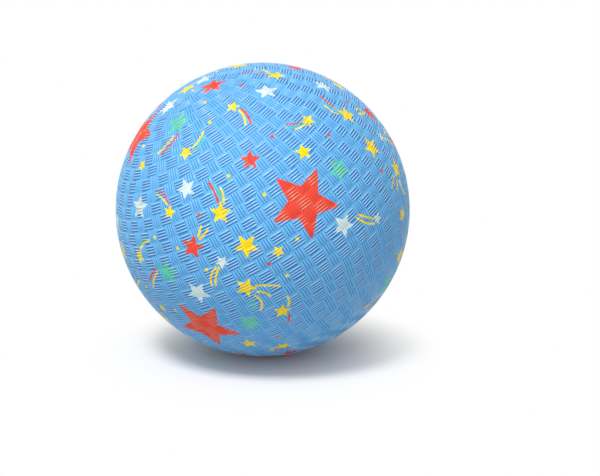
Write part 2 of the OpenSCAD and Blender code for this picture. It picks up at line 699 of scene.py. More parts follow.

# The print's near side, with places read in whole and half degrees
NEAR_SIDE = (
    Figure(Ink.RED, 14, 12, 24 * MM, 59),
    Figure(Ink.RED, -47.5, -13.5, 24.5 * MM, 57),
    Figure(Ink.RED, -89, 65.5, 24 * MM, 2),
    Figure(Ink.RED, 7, 35.5, 7 * MM, 34),
    Figure(Ink.RED, -31, 18.5, 8.5 * MM, 34, (
        Stroke(Ink.YELLOW, (-27, 21), (-25.5, 22.5), (-24, 24)),
        Stroke(Ink.YELLOW, (-27, 20), (-24, 21), (-22, 22)),
    )),
    Figure(Ink.RED, 37, 74.5, 10 * MM, 58),
    Figure(Ink.RED, 75, 14, 8.5 * MM, 42, (
        Stroke(Ink.YELLOW, (71.5, 16.5), (68, 17.5), (65.5, 19)),
        Stroke(Ink.YELLOW, (70, 18), (69, 20), (67, 20.5)),
    )),
    Figure(Ink.RED, 88, 46, 7.5 * MM, 50),
    Figure(Ink.RED, -57, -38.5, 7.5 * MM, 20),
    Figure(Ink.RED, -35, -50, 8 * MM, 20),
    Figure(Ink.YELLOW, -14.5, 25, 7.5 * MM, 29, (
        Stroke(Ink.RED, (-13.5, 28.5), (-13, 32.5), (-13.5, 36.5)),
        Stroke(Ink.GREEN, (-12, 29), (-11.5, 32), (-11.5, 35)),
        Stroke(Ink.YELLOW, (-11.5, 27.5), (-10.5, 29.5), (-10, 32.5)),
    )),
    Figure(Ink.YELLOW, -12, 10.5, 8.5 * MM, 66),
    Figure(Ink.YELLOW, -3.5, 3, 4.5 * MM, 68),
    Figure(Ink.YELLOW, -20.5, -3, 7.5 * MM, 50, (
        Stroke(Ink.YELLOW, (-17, -4), (-13.5, -6), (-10, -8.5)),
        Stroke(Ink.YELLOW, (-18, -6.5), (-16, -8), (-15, -10.5)),
        Stroke(Ink.YELLOW, (-19.5, -7.5), (-19, -10.5), (-21.5, -14)),
        Stroke(Ink.GREEN, (-22, -8), (-22.5, -10.5), (-24, -12.5), THIN),
        Stroke(Ink.GREEN, (-21, -8), (-21.5, -10.5), (-22.5, -12.5), THIN),
    )),
    Figure(Ink.YELLOW, -15, -19, 6 * MM, 32, (
        Stroke(Ink.RED, (-14, -22), (-15, -24), (-16.5, -25.5)),
        Stroke(Ink.YELLOW, (-12, -18), (-10.5, -16.5), (-10, -14)),
    )),
    Figure(Ink.YELLOW, -39, -29, 6 * MM, 22),
    Figure(Ink.YELLOW, -29, -39.5, 6 * MM, 60, (
        Stroke(Ink.YELLOW, (-31.5, -38), (-34, -38.5), (-36.5, -39.5)),
        Stroke(Ink.RED, (-33, -40), (-36, -42), (-38.5, -43.5)),
        Stroke(Ink.GREEN, (-36.5, -40), (-38.5, -41), (-40, -42.5)),
    )),
    Figure(Ink.YELLOW, -36, 33, 5 * MM, 29, (
        Stroke(Ink.YELLOW, (-36, 35.5), (-39, 39), (-42, 41), THIN),
        Stroke(Ink.RED, (-35.5, 36), (-37, 39.5), (-40, 42), THIN),
    )),
    Figure(Ink.YELLOW, -61.5, 20, 5.5 * MM, 53, (
        Stroke(Ink.GREEN, (-60.5, 23), (-58, 25), (-54.5, 26.5)),
        Stroke(Ink.YELLOW, (-60, 22), (-56, 24.5), (-51.5, 25.5)),
    )),
    Figure(Ink.YELLOW, -64.5, -2.5, 4.5 * MM, 52),
    Figure(Ink.YELLOW, -74, -9, 7.5 * MM, 30),
    Figure(Ink.YELLOW, -81, 20.5, 8 * MM, 15),
    Figure(Ink.YELLOW, -56, 53.5, 4.5 * MM, 33),
    Figure(Ink.YELLOW, -19.5, 51.5, 5.5 * MM, 59, (
        Stroke(Ink.YELLOW, (-14.5, 52), (-9.5, 53.5), (-4.5, 56)),
        Stroke(Ink.GREEN, (-15, 50.5), (-10, 51.5), (-5, 53.5)),
    )),
    Figure(Ink.YELLOW, 21, 57.5, 5 * MM, 60, (
        Stroke(Ink.YELLOW, (21.5, 54.5), (20, 51), (17, 48)),
        Stroke(Ink.RED, (23, 54.5), (22, 50.5), (19.5, 47)),
    )),
    Figure(Ink.YELLOW, 26.5, 26, 6 * MM, 28),
    Figure(Ink.YELLOW, 40, 33, 5.5 * MM, 6, (
        Stroke(Ink.RED, (35.5, 34.5), (33.5, 36), (31, 37.5), THIN),
        Stroke(Ink.GREEN, (36.5, 33.5), (32.5, 35), (29, 36.5), THIN),
        Stroke(Ink.YELLOW, (37.5, 32.5), (35, 33), (32, 34), THIN),
    )),
    Figure(Ink.YELLOW, 54, 8.5, 8.5 * MM, 6),
    Figure(Ink.YELLOW, 58, 23, 7.5 * MM, 51, (
        Stroke(Ink.YELLOW, (54.5, 26), (53.5, 28.5), (54, 31.5)),
        Stroke(Ink.GREEN, (56.5, 27), (55.5, 30), (56, 33.5)),
        Stroke(Ink.RED, (57, 27), (57.5, 31), (59, 35)),
    )),
    Figure(Ink.YELLOW, 53.5, -21.5, 6 * MM, 48),
    Figure(Ink.YELLOW, 62, -6, 8 * MM, 29, (
        Stroke(Ink.YELLOW, (57, -6), (54, -7.5), (51, -8.5)),
        Stroke(Ink.YELLOW, (58, -9), (56.5, -10), (55, -12)),
        Stroke(Ink.YELLOW, (60, -10), (60, -13.5), (62.5, -17.5)),
    )),
    Figure(Ink.YELLOW, 65.5, 53.5, 7 * MM, 26, (
        Stroke(Ink.RED, (67, 58.5), (68, 62.5), (67, 66.5)),
        Stroke(Ink.YELLOW, (67, 56.5), (71, 57.5), (75, 62)),
    )),
    Figure(Ink.YELLOW, 83, 28.5, 7.5 * MM, 40, (
        Stroke(Ink.YELLOW, (85, 32.5), (87, 34.5), (91, 36)),
        Stroke(Ink.RED, (86.5, 31.5), (89, 33.5), (93, 34.5)),
    )),
    Figure(Ink.YELLOW, 38, 88.5, 8 * MM, 30),
    Figure(Ink.YELLOW, 100, 67, 9 * MM, 20),
    Figure(Ink.WHITE, -38.5, 2, 9 * MM, 55),
    Figure(Ink.WHITE, -55, 38, 9 * MM, 11),
    Figure(Ink.WHITE, -24.5, 38.5, 7.5 * MM, 70),
    Figure(Ink.WHITE, -23, 9.5, 5 * MM, 62, (
        Stroke(Ink.YELLOW, (-26, 8.5), (-29.5, 6.5), (-31.5, 3)),
        Stroke(Ink.YELLOW, (-25, 8), (-28, 5.5), (-30, 2.5)),
    )),
    Figure(Ink.WHITE, 21.5, -3.5, 8.5 * MM, 56),
    Figure(Ink.WHITE, 36, -11.5, 4.5 * MM, 44, (
        Stroke(Ink.YELLOW, (33.5, -12), (30, -9), (27.5, -4.5)),
        Stroke(Ink.YELLOW, (34, -10), (31.5, -7.5), (29, -4.5)),
    )),
    Figure(Ink.WHITE, 70, 35.5, 7.5 * MM, 10),
    Figure(Ink.WHITE, 66, 6.5, 5 * MM, 55, (
        Stroke(Ink.YELLOW, (68, 4.5), (71.5, 2), (75, -1.5)),
        Stroke(Ink.YELLOW, (69, 5.5), (72.5, 5), (76, 4.5)),
    )),
    Figure(Ink.WHITE, -85, 31, 7.5 * MM, 60),
    Figure(Ink.WHITE, -56.5, 79.5, 9.5 * MM, 30),
    Figure(Ink.WHITE, 80, 82, 8.5 * MM, 20),
    Figure(Ink.WHITE, 44.5, 52.5, 8 * MM, 50),
    Figure(Ink.GREEN, -47.5, 12.5, 10 * MM, 22, (
        Stroke(Ink.RED, (-53, 14.5), (-57.5, 12.5), (-61, 10)),
        Stroke(Ink.YELLOW, (-53.5, 13), (-57, 11), (-60.5, 7.5)),
    )),
    Figure(Ink.GREEN, -29, -18, 9 * MM, 59),
    Figure(Ink.GREEN, -22, 66.5, 10.5 * MM, 24, (
        Stroke(Ink.YELLOW, (-27, 61), (-34, 58.5), (-40.5, 56.5)),
        Stroke(Ink.RED, (-23, 61), (-30.5, 57.5), (-37.5, 55.5)),
    )),
    Figure(Ink.GREEN, 33, 13, 9 * MM, 65),
    Figure(Ink.YELLOW, -87, 2, 5 * MM, 10, (
        Stroke(Ink.YELLOW, (-71, 9.5), (-76.5, 7), (-82, 5)),
        Stroke(Ink.GREEN, (-78.5, 11), (-81, 10), (-84, 8.5)),
    )),
    dot(Ink.YELLOW, 3.5, 22.5),
    dot(Ink.YELLOW, 4.5, 3),
    dot(Ink.YELLOW, -4.5, 35),
    dot(Ink.YELLOW, -47.5, 26),
    dot(Ink.YELLOW, -37.5, 20),
    dot(Ink.YELLOW, -30, 9),
    dot(Ink.YELLOW, -5.5, -6.5),
    dot(Ink.YELLOW, -56, -3.5),
    dot(Ink.YELLOW, -59, -23),
    dot(Ink.YELLOW, -67, 7),
    dot(Ink.YELLOW, -62, 61.5),
    dot(Ink.YELLOW, 2, 58),
    dot(Ink.YELLOW, 10, 68.5),
    dot(Ink.YELLOW, 18, 82.5),
    dot(Ink.YELLOW, 85, 15),
    dot(Ink.RED, -8.5, 1),
    dot(Ink.RED, -23, 28),
    dot(Ink.RED, 21.5, 37.5),
    dot(Ink.RED, 43.5, 63),
    dot(Ink.RED, 41, 24),
    dot(Ink.RED, 67.5, 25),
    dot(Ink.RED, 50.5, -0.5),
    dot(Ink.RED, -69.5, 0),
    dot(Ink.RED, -25, -30.5),
)


@dataclass(frozen=True)
class Stamp:
    """A figure as it lies on the ball: its rows of right, up and out, and its strokes' points."""

    figure: Figure
    rows: np.ndarray
    strokes: tuple[np.ndarray, ...]

    def moved(self, rows: np.ndarray) -> "Stamp":
        """Carries the figure and its tail to another place on the ball."""
        return Stamp(self.figure, rows, tuple(points @ self.rows.T @ rows for points in self.strokes))

    def ground(self, radius: float) -> tuple[np.ndarray, float]:
        """Finds the round patch that the figure and its tail need.

        Args:
            radius: radius of the ball.

        Returns:
            The direction of the patch's middle, and its half angle.
        """
        reach = self.figure.reach / radius
        out = self.rows[2]
        arms = *self.rows[:2], *-self.rows[:2]
        spots = [out * math.cos(reach) + arm * math.sin(reach) for arm in arms]
        spots = np.vstack([spots, *self.strokes])
        middle = unit(spots.mean(axis=0))
        return middle, float(np.arccos(np.clip(spots @ middle, -1, 1)).max())


@dataclass(frozen=True)
class Arc:
    """A stroke laid flat beside the ball, measured from the middle that it curves round."""

    stroke: Stroke
    axes: np.ndarray
    offset: np.ndarray
    bend: float
    half_angle: float

    # Longest radius that a stroke is bent to, so that a straight one is an arc too
    STRAIGHT = 1.0

    @classmethod
    def through(cls, stroke: Stroke, points: np.ndarray, radius: float) -> "Arc":
        """Lays an arc through three points of the ball.

        Args:
            stroke: the stroke that is laid.
            points: directions of its start, middle and end, one row each.
            radius: radius of the ball.

        Returns:
            The arc, with its second axis through its own middle.
        """
        out = unit(points[1])
        ahead = points[2] - points[0]
        ahead = unit(ahead - out * (ahead @ out))
        axes = np.array([ahead, np.cross(out, ahead)])
        flat = points @ axes.T * radius
        (x0, y0), (x1, y1), (x2, y2) = flat
        four_areas = 2 * (x0 * (y1 - y2) + x1 * (y2 - y0) + x2 * (y0 - y1))
        chord = math.hypot(x2 - x0, y2 - y0)
        least = chord**3 / (4 * cls.STRAIGHT)
        four_areas = math.copysign(max(abs(four_areas), least), four_areas)
        squares = (flat**2).sum(axis=1)
        centre = np.array([
            squares @ np.array([y1 - y2, y2 - y0, y0 - y1]),
            squares @ np.array([x2 - x1, x0 - x2, x1 - x0]),
        ]) / four_areas
        spokes = flat[[0, 2]] - centre
        up = unit(spokes.sum(axis=0))
        turned = np.array([[up[1], -up[0]], up]) @ axes
        bend = float(np.linalg.norm(spokes[0]))
        half_angle = math.acos(float(np.clip(spokes[0] @ up / bend, -1, 1)))
        return cls(stroke, turned, turned @ axes.T @ centre, bend, half_angle)

    def flatten(self, points: np.ndarray) -> np.ndarray:
        """Turns points into places across and along the middle of the arc."""
        return points @ self.axes.T - self.offset

    def distance(self, points: np.ndarray) -> np.ndarray:
        """Measures how far points are from the arc, seen from straight above it.

        Args:
            points: the points, one row each.

        Returns:
            The distances, which are endless on the far side of the ball.
        """
        x, y = self.flatten(points).T
        beyond = np.maximum(np.abs(np.arctan2(x, y)) - self.half_angle, 0) * self.bend
        away = np.hypot(np.hypot(x, y) - self.bend, beyond)
        return np.where(points @ np.cross(*self.axes) > 0, away, np.inf)


@dataclass
class StarPrint:
    """The printed figures: those of the near side, and copies strewn over the far side."""

    mould: Mould
    towards: Vector
    radius: float = BALL_RADIUS
    near_deg: float = 80.0
    valve_clear: float = 14 * MM
    # Two figures keep at least this share of their patches' half angles apart
    overlap: float = 0.92
    tries: int = 30
    # How many of the largest figures are strewn once, where the others are strewn twice
    strewn_once: int = 3
    seed: int = 7
    stamps: list[Stamp] = field(init=False)

    # Nearest strokes that a face keeps, and the names that faces and corners keep them under
    LAYERS = 3
    PLACE, KIND = "figure_place", "figure_kind"
    STROKE_PLACE, STROKE_BEND = "stroke_place_{}", "stroke_bend_{}"

    def __post_init__(self) -> None:
        """Lays out all figures of the ball."""
        near = [self._lay(figure) for figure in NEAR_SIDE]
        self.stamps = near + self._strew(near)

    def _direction(self, longitude: float, latitude: float) -> np.ndarray:
        """Turns a place in degrees into a direction."""
        place = np.radians([latitude]), np.radians([longitude])
        return self.mould.place(*place, np.ones(1))[0]

    def _rows(self, out: np.ndarray, turn: float) -> np.ndarray:
        """Stands a figure on a direction.

        Args:
            out: the direction.
            turn: direction of one tip, counted eastwards from the mould's pole.

        Returns:
            The figure's rows of right, up and out.
        """
        north = unit(self.mould.pole - out * (self.mould.pole @ out))
        east = np.cross(north, out)
        up = math.cos(turn) * north + math.sin(turn) * east
        return np.array([np.cross(up, out), up, out])

    def _lay(self, figure: Figure) -> Stamp:
        """Lays one figure where it was read.

        Args:
            figure: the figure.

        Returns:
            The figure as it lies on the ball.
        """
        rows = self._rows(self._direction(figure.longitude, figure.latitude), math.radians(figure.turn))
        strokes = tuple(
            np.array([self._direction(*place) for place in (stroke.start, stroke.middle, stroke.end)])
            for stroke in figure.tail
        )
        return Stamp(figure, rows, strokes)

    def _strew(self, near: list[Stamp]) -> list[Stamp]:
        """Strews copies of the near side's figures where no figure lies yet.

        The figures that need most room are placed first, and the dots last.

        Args:
            near: the figures of the near side.

        Returns:
            The new figures.
        """
        draw = np.random.default_rng(self.seed)
        taken = [stamp.ground(self.radius) for stamp in near]
        towards = np.array(self.towards)
        new = []
        sources = sorted(near, key=lambda stamp: -stamp.ground(self.radius)[1])
        for source in sources + sources[self.strewn_once:]:
            for _ in range(self.tries):
                out = unit(draw.normal(size=3))
                stamp = source.moved(self._rows(out, draw.uniform(0, WHOLE_TURN)))
                middle, room = stamp.ground(self.radius)
                from_valve = angle_between(-middle, self.mould.pole) * self.radius
                if angle_between(middle, towards) < math.radians(self.near_deg) - room:
                    continue
                if from_valve < room * self.radius + self.valve_clear:
                    continue
                gaps = [angle_between(middle, m) - (room + r) * self.overlap for m, r in taken]
                if min(gaps) > 0:
                    taken.append((middle, room))
                    new.append(stamp)
                    break
        return new

    def _outside(self, stamp: Stamp, spots: np.ndarray) -> np.ndarray:
        """Measures how far spots on the ball are outside a figure.

        Args:
            stamp: the figure as it lies on the ball.
            spots: the spots, one row each.

        Returns:
            The distances, which are negative inside the figure and endless on the ball's far side.
        """
        reach = stamp.figure.reach
        x, y, out = (spots @ stamp.rows.T).T
        away = np.hypot(x, y)
        beyond = away - reach
        if stamp.figure.outline is Outline.STAR:
            fifth = WHOLE_TURN / 5
            fold = np.abs((np.arctan2(x, y) + fifth / 2) % fifth - fifth / 2)
            rise, run = 1 - STAR_NOTCH * math.cos(fifth / 2), STAR_NOTCH * math.sin(fifth / 2)
            flank = np.sin(fold) * away * rise + (np.cos(fold) * away - reach) * run
            beyond = flank / math.hypot(rise, run)
        return np.where(out > 0, beyond, np.inf)

    def mark(self, mesh: bpy.types.Mesh, least_radius: float) -> None:
        """Tells each outer face which figure and strokes lie on it, and where on them.

        Args:
            mesh: the cover's mesh.
            least_radius: faces whose middle is nearer to the ball's centre stay bare.
        """
        points = read_all(mesh.vertices, "co", 3, np.float64)
        totals = read_all(mesh.polygons, "loop_total", 1, np.int32)
        owner = np.repeat(np.arange(len(totals)), totals)
        corner_points = points[read_all(mesh.loops, "vertex_index", 1, np.int32)]
        starts = np.concatenate([[0], np.cumsum(totals)[:-1]])
        middles = np.add.reduceat(corner_points, starts, axis=0) / totals[:, None]
        depth = np.linalg.norm(middles, axis=1)
        bare = depth < least_radius
        spots = middles / depth[:, None] * self.radius

        nearest = np.argmin([self._outside(stamp, spots) for stamp in self.stamps], axis=0)
        figures = [stamp.figure for stamp in self.stamps]
        kinds = np.array([
            (figure.reach, figure.ink.number, figure.outline.value) for figure in figures
        ])
        kind = kinds[nearest]
        kind[bare, 0] = 0
        across = np.array([stamp.rows[0] for stamp in self.stamps])[nearest][owner]
        upwards = np.array([stamp.rows[1] for stamp in self.stamps])[nearest][owner]
        place = np.column_stack([
            (corner_points * across).sum(axis=1),
            (corner_points * upwards).sum(axis=1),
            np.zeros(len(owner)),
        ])
        place[bare[owner]] = 1
        self._store(mesh, self.PLACE, "CORNER", place)
        self._store(mesh, self.KIND, "FACE", kind)

        arcs = [
            Arc.through(stroke, stroke_points, self.radius)
            for stamp in self.stamps
            for stroke, stroke_points in zip(stamp.figure.tail, stamp.strokes)
        ]
        away = np.column_stack([arc.distance(spots) for arc in arcs])
        away[bare] = np.inf
        order = np.argsort(away, axis=1)[:, :self.LAYERS]
        bends = np.array([(arc.bend, arc.half_angle, arc.stroke.ink.number) for arc in arcs])
        half_widths = np.array([arc.stroke.half_width for arc in arcs])
        axes = np.array([arc.axes for arc in arcs])
        offsets = np.array([arc.offset for arc in arcs])
        for layer in range(self.LAYERS):
            chosen = order[:, layer]
            on = chosen[owner]
            place = np.column_stack([
                (corner_points * axes[on, 0]).sum(axis=1) - offsets[on, 0],
                (corner_points * axes[on, 1]).sum(axis=1) - offsets[on, 1],
                half_widths[on],
            ])
            bend = bends[chosen]
            blank = ~np.isfinite(away[np.arange(len(chosen)), chosen])
            bend[blank, :2] = 0
            place[blank[owner]] = (1, 1, 0)
            self._store(mesh, self.STROKE_PLACE.format(layer), "CORNER", place)
            self._store(mesh, self.STROKE_BEND.format(layer), "FACE", bend)

    def _store(self, mesh: bpy.types.Mesh, name: str, domain: str, rows: np.ndarray) -> None:
        """Keeps one row of three numbers for each face or corner of a mesh."""
        data = mesh.attributes.new(name, "FLOAT_VECTOR", domain).data
        data.foreach_set("vector", rows.astype(np.float32).ravel())


def twice_area(first: list[float], second: list[float], third: list[float]) -> float:
    """Works out twice the area of a flat triangle, below 0 where its corners run clockwise."""
    across, along = second[0] - first[0], second[1] - first[1]
    return across * (third[1] - first[1]) - along * (third[0] - first[0])


class Skin:
    """A mesh under construction, kept as points and faces."""

    # Leads of one chain over the other that the stitching avoids, and avoids before all else
    SLACK = 0.012
    TOO_FAR = 0.036
    LEAST_FLAT = 0.02
    SHARP_DEG = 62.0

    def __init__(self, mould: Mould, points: np.ndarray) -> None:
        """Starts with the points of the woven blocks.

        Args:
            mould: the mould's directions.
            points: the points, one row each.
        """
        self.mould = mould
        self.points = points
        self.triangles: list = []
        self.quads: list = []
        self.latitude, self.longitude = mould.find(points)

    def ring(self, latitude: float, radius: float, count: int, start: float = 0.0) -> list[int]:
        """Adds a ring of points round the mould's axis.

        Args:
            latitude: the ring's latitude.
            radius: distance of its points from the centre of the ball.
            count: number of points.
            start: longitude of the first.

        Returns:
            The numbers of its points, eastwards.
        """
        first = len(self.points)
        longitude = start + np.arange(count) * WHOLE_TURN / count
        new = self.mould.place(np.full(count, latitude), longitude, np.full(count, radius))
        self.points = np.vstack([self.points, new])
        self.latitude = np.append(self.latitude, np.full(count, latitude))
        self.longitude = np.append(self.longitude, (longitude + math.pi) % WHOLE_TURN - math.pi)
        return list(range(first, first + count))

    def level_ring(self, height: float, outwards: float, count: int) -> list[int]:
        """Adds a ring at a height along the mould's axis and a distance from that axis."""
        return self.ring(math.atan2(height, outwards), math.hypot(height, outwards), count)

    def opened(self, loop: list[int]) -> tuple[list[int], np.ndarray]:
        """Starts a closed loop at its lowest longitude and repeats its first point at the end.

        Args:
            loop: numbers of the loop's points.

        Returns:
            The numbers in their new order, and their longitudes, which only rise.
        """
        longitude = self.longitude[loop] % WHOLE_TURN
        start = int(np.argmin(longitude))
        turned = loop[start:] + loop[:start]
        places = np.append(longitude[start:], longitude[:start])
        return turned + turned[:1], np.append(places, places[0] + WHOLE_TURN)

    def stitch_rings(self, south: list[int], north: list[int]) -> None:
        """Fills the band between two closed loops of any counts.

        Args:
            south: numbers of the southern loop's points.
            north: numbers of the northern loop's points.
        """
        south_loop, south_x = self.opened(south)
        north_loop, north_x = self.opened(north)
        flat = max(math.cos(float(np.mean(self.latitude[south + north]))), self.LEAST_FLAT)
        low = np.column_stack([south_x * flat, self.latitude[south_loop]])
        high = np.column_stack([north_x * flat, self.latitude[north_loop]])
        self.stitch(south_loop, low, north_loop, high)

    def stitch_sides(self, west: list[int], east: list[int]) -> None:
        """Fills the gap between two blocks of a row.

        Args:
            west: numbers of the points at the gap's west.
            east: numbers of the points at its east.
        """
        flat = math.cos(float(self.latitude[west[0]]))
        start = self.longitude[west[0]]

        def places(chain: list[int]) -> np.ndarray:
            """Flat places with north as x and west as y, so that the gap is a level band."""
            turn = (self.longitude[chain] - start + math.pi) % WHOLE_TURN - math.pi
            return np.column_stack([self.latitude[chain], -turn * flat])

        self.stitch(east, places(east), west, places(west))

    def stitch(self, low: list[int], low_at: np.ndarray, high: list[int], high_at: np.ndarray) -> None:
        """Fills a band with triangles between a lower and an upper chain.

        Each triangle takes the nearest next point that doesn't fold the band or run far ahead.

        Args:
            low: numbers of the lower chain's points, in order of x.
            low_at: their flat places.
            high: numbers of the upper chain's points.
            high_at: their flat places.
        """
        a, b = low_at.tolist(), high_at.tolist()
        i = j = 0
        while i < len(a) - 1 or j < len(b) - 1:
            more_low, more_high = i < len(a) - 1, j < len(b) - 1
            low_next, high_next = a[i + more_low], b[j + more_high]
            lead = low_next[0] - high_next[0] if more_low and more_high else -math.inf
            choices = []
            if more_low:
                folds = int(twice_area(a[i], low_next, b[j]) <= 0)
                folds += twice_area(low_next, high_next, b[j]) < 0
                far = math.dist(low_next, b[j])
                choices.append((lead > self.TOO_FAR, folds, lead > self.SLACK, far, 0))
            if more_high:
                lead = -lead if more_low else -math.inf
                folds = int(twice_area(a[i], high_next, b[j]) <= 0)
                folds += twice_area(a[i], low_next, high_next) < 0
                far = math.dist(high_next, a[i])
                choices.append((lead > self.TOO_FAR, folds, lead > self.SLACK, far, 1))
            if min(choices)[-1] == 0:
                self.triangles.append([low[i], low[i + 1], high[j]])
                i += 1
            else:
                self.triangles.append([low[i], high[j + 1], high[j]])
                j += 1

    def band(self, south: list[int], north: list[int]) -> None:
        """Joins two rings of the same count with quads that face outwards.

        Args:
            south: numbers of the southern ring's points.
            north: numbers of the northern ring's points.
        """
        count = len(south)
        for i in range(count):
            k = (i + 1) % count
            self.quads.append([south[i], south[k], north[k], north[i]])

    def close(self, loop: list[int], pole_latitude: float, radius: float) -> None:
        """Closes a ring at a pole with a fan that faces outwards.

        Args:
            loop: numbers of the ring's points.
            pole_latitude: latitude of the pole.
            radius: distance of the fan's middle from the centre of the ball.
        """
        centre = self.ring(pole_latitude, radius, 1)[0]
        count = len(loop)
        for i in range(count):
            k = (i + 1) % count
            edge = [loop[i], loop[k]] if pole_latitude > 0 else [loop[k], loop[i]]
            self.triangles.append(edge + [centre])

    def mesh(self, name: str, feet: np.ndarray) -> bpy.types.Mesh:
        """Turns the points and faces into a mesh.

        Args:
            name: the mesh's name.
            feet: marks the points at the feet of the bars, whose lines stay crisp.

        Returns:
            The mesh, smooth but for its creases.
        """
        mesh = bpy.data.meshes.new(name)
        mesh.from_pydata(self.points.tolist(), [], self.triangles + self.quads)
        mesh.validate()
        mesh.polygons.foreach_set("use_smooth", np.ones(len(mesh.polygons), bool))
        mesh.set_sharp_from_angle(angle=math.radians(self.SHARP_DEG))
        first, second = read_all(mesh.edges, "vertices", 2, np.int32).T
        edges = mesh.attributes["sharp_edge"].data
        sharp = read_all(edges, "value", 1, bool)
        sharp |= feet[first] & feet[second] & (np.abs(first - second) == 1)
        edges.foreach_set("value", sharp)
        return mesh


@dataclass
class Cover:
    """One moulded half of the cover: woven skin, parting crease, scarf and inner wall."""

    half: Half
    mould: Mould
    weave: Weave
    star_print: StarPrint
    inner_radius: float = 106.2 * MM
    scarf_height: float = 3 * MM
    crease_half_width: float = 0.16 * MM
    crease_depth: float = 0.12 * MM
    joint_gap: float = 0.01 * MM
    spot_radius: float = 9 * MM
    hole_radius: float = 5.25 * MM
    round_over: float = 0.25 * MM
    # Faces this far below the feet of the bars carry no print
    print_depth: float = 0.6 * MM
    # Distance from the pole and number of points of each ring that closes the skin there
    cap_rings: tuple[tuple[float, int], ...] = ((12 * MM, 48), (8 * MM, 32), (4 * MM, 16))
    ring_count: int = 576
    wall_count: int = 192
    hole_count: int = 64
    wall_step_deg: float = 3.6
    wall_end_deg: float = 87.0
    hole_margin_deg: float = 1.2

    def build(self, rubber: bpy.types.Material) -> bpy.types.Object:
        """Makes the half.

        Args:
            rubber: the cover's material.

        Returns:
            The finished object.
        """
        points, counts = self.weave.tiles(self.half, self.mould, rubber)
        skin = Skin(self.mould, points)
        borders = self._weave_rows(skin, counts)
        if self.half is Half.UPPER:
            crease_side, pole_side = borders[0][0], borders[-1][1]
        else:
            crease_side, pole_side = borders[-1][1], borders[0][0]
        inner_edge = self._part(skin, crease_side)
        if self.half is Half.UPPER:
            self._cap(skin, pole_side)
            self._inner_wall(skin, inner_edge, None)
        else:
            hole_edge = self._valve_spot(skin, pole_side)
            self._inner_wall(skin, inner_edge, hole_edge)
        feet, tops = self.weave.relief(len(points))
        plain = np.zeros(len(skin.points) - len(points))
        mesh = skin.mesh(self.half.node + "_rubber", np.append(feet, plain) > 0)
        mesh.materials.append(rubber)
        # These attributes carry the painted shade at the bars' feet and the painted highlight on their
        # tops
        for name, marks in (("groove", feet), ("crest", tops)):
            values = np.append(marks, plain).astype(np.float32)
            mesh.attributes.new(name, "FLOAT", "POINT").data.foreach_set("value", values)
        self.star_print.mark(mesh, self.weave.base_radius - self.print_depth)
        piece = bpy.data.objects.new(mesh.name, mesh)
        bpy.context.scene.collection.objects.link(piece)
        return piece

    def _weave_rows(self, skin: Skin, counts: list[int]) -> list[tuple[list[int], list[int]]]:
        """Adds the faces of all blocks and of the smooth land between them.

        Args:
            skin: the mesh under construction.
            counts: number of blocks in each row.

        Returns:
            The southern and the northern border of each row.
        """
        weave, borders, first = self.weave, [], 0
        for count in counts:
            lays = [Lay(block % 2) for block in range(count)]
            south, north = [], []
            for place, lay in enumerate(lays):
                block = first + place
                triangles, quads = weave.faces(block, lay)
                skin.triangles += triangles
                skin.quads += quads
                south += weave.border(block, lay, "south")
                north += weave.border(block, lay, "north")
                beside = (place + 1) % count
                skin.stitch_sides(
                    weave.border(block, lay, "east"), weave.border(first + beside, lays[beside], "west")
                )
            if borders:
                skin.stitch_rings(borders[-1][1], south)
            borders.append((south, north))
            first += count
        return borders

    def _part(self, skin: Skin, row_edge: list[int]) -> list[int]:
        """Adds the side of the parting crease and the scarf joint.

        Args:
            skin: the mesh under construction.
            row_edge: border of the row beside the crease.

        Returns:
            The inner edge of the scarf.
        """
        side = self.half.value
        rim_height = side * self.crease_half_width
        base = self.weave.base_radius
        rim = skin.ring(math.asin(rim_height / base), base, self.ring_count)
        foot = skin.level_ring(side * self.joint_gap, base - self.crease_depth, self.ring_count)
        depth = self.scarf_height - side * self.joint_gap
        edge = skin.level_ring(-depth, math.sqrt(self.inner_radius**2 - depth**2), self.ring_count)
        if side > 0:
            skin.stitch_rings(rim, row_edge)
            skin.band(foot, rim)
            skin.band(edge, foot)
        else:
            skin.stitch_rings(row_edge, rim)
            skin.band(rim, foot)
            skin.band(foot, edge)
        return edge

    def _cap(self, skin: Skin, row_edge: list[int]) -> None:
        """Closes the skin over the pole with smooth rings.

        Args:
            skin: the mesh under construction.
            row_edge: border of the row beside the pole.
        """
        below = row_edge
        for away, count in self.cap_rings:
            ring = skin.ring(math.pi / 2 - away / self.weave.base_radius, self.weave.base_radius, count)
            skin.stitch_rings(below, ring)
            below = ring
        skin.close(below, math.pi / 2, self.weave.base_radius)

    def _valve_spot(self, skin: Skin, row_edge: list[int]) -> list[int]:
        """Adds the smooth flat spot at the lower pole, and the hole for the valve.

        Args:
            skin: the mesh under construction.
            row_edge: border of the row beside the spot.

        Returns:
            The inner edge of the hole.
        """
        crest, base, count = self.weave.crest_radius, self.weave.base_radius, self.hole_count
        level = -math.sqrt(crest**2 - self.spot_radius**2)
        round_over = self.round_over
        foot = skin.ring(-math.acos((self.spot_radius + 3 * round_over) / base), base, count)
        shoulder = skin.level_ring(level + 0.6 * round_over, self.spot_radius + round_over, count)
        rim = skin.level_ring(level, self.spot_radius - round_over, count)
        lip = skin.level_ring(level, self.hole_radius + round_over, count)
        mouth = skin.level_ring(level + round_over, self.hole_radius, count)
        depth = math.sqrt(self.inner_radius**2 - self.hole_radius**2)
        edge = skin.level_ring(-depth, self.hole_radius, count)
        skin.stitch_rings(foot, row_edge)
        for inner, outer in ((shoulder, foot), (rim, shoulder), (lip, rim), (mouth, lip)):
            skin.band(inner, outer)
        skin.band(edge, mouth)
        return edge

